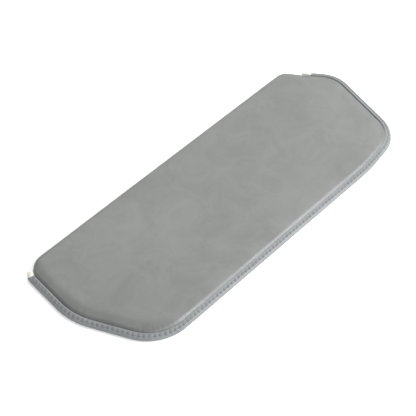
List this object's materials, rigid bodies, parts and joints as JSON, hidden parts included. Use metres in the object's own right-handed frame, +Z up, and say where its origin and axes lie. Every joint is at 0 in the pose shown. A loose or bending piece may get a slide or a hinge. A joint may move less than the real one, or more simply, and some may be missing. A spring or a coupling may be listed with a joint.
{
  "type": "chair armrest pad",
  "caption": "Thin upholstered armrest pad with a rounded hexagonal outline, a stitched edge band on three sides, and a plywood base with threaded inserts.",
  "frame": {"origin": "middle of the pad's outline, on the plane of the underside", "axes": "+X along the pad towards its sharper end, +Y towards the plain long side, +Z up towards the padded face"},
  "size_m": [0.3004, 0.114, 0.0074],
  "materials": {
    "leather": "matte grey leather with a fine grain",
    "white_core": "soft white foamed plastic",
    "thread": "twisted grey polyester thread",
    "foam": "open-cell foam",
    "plywood": "raw plywood",
    "lining": "black non-woven sheet",
    "staple_wire": "galvanised wire",
    "nut_steel": "zinc-plated steel"
  },
  "bodies": {
    "root": {"top_cover": "leather", "edge_band": "leather", "edge_core": "white_core", "seam_thread": "thread", "topstitch": "thread", "foam_pad": "foam", "base_board": "plywood", "bottom_lining": "lining", "staples": "staple_wire", "t_nut_1": "nut_steel", "t_nut_2": "nut_steel", "t_nut_3": "nut_steel", "t_nut_4": "nut_steel"}
  },
  "joints": []
}
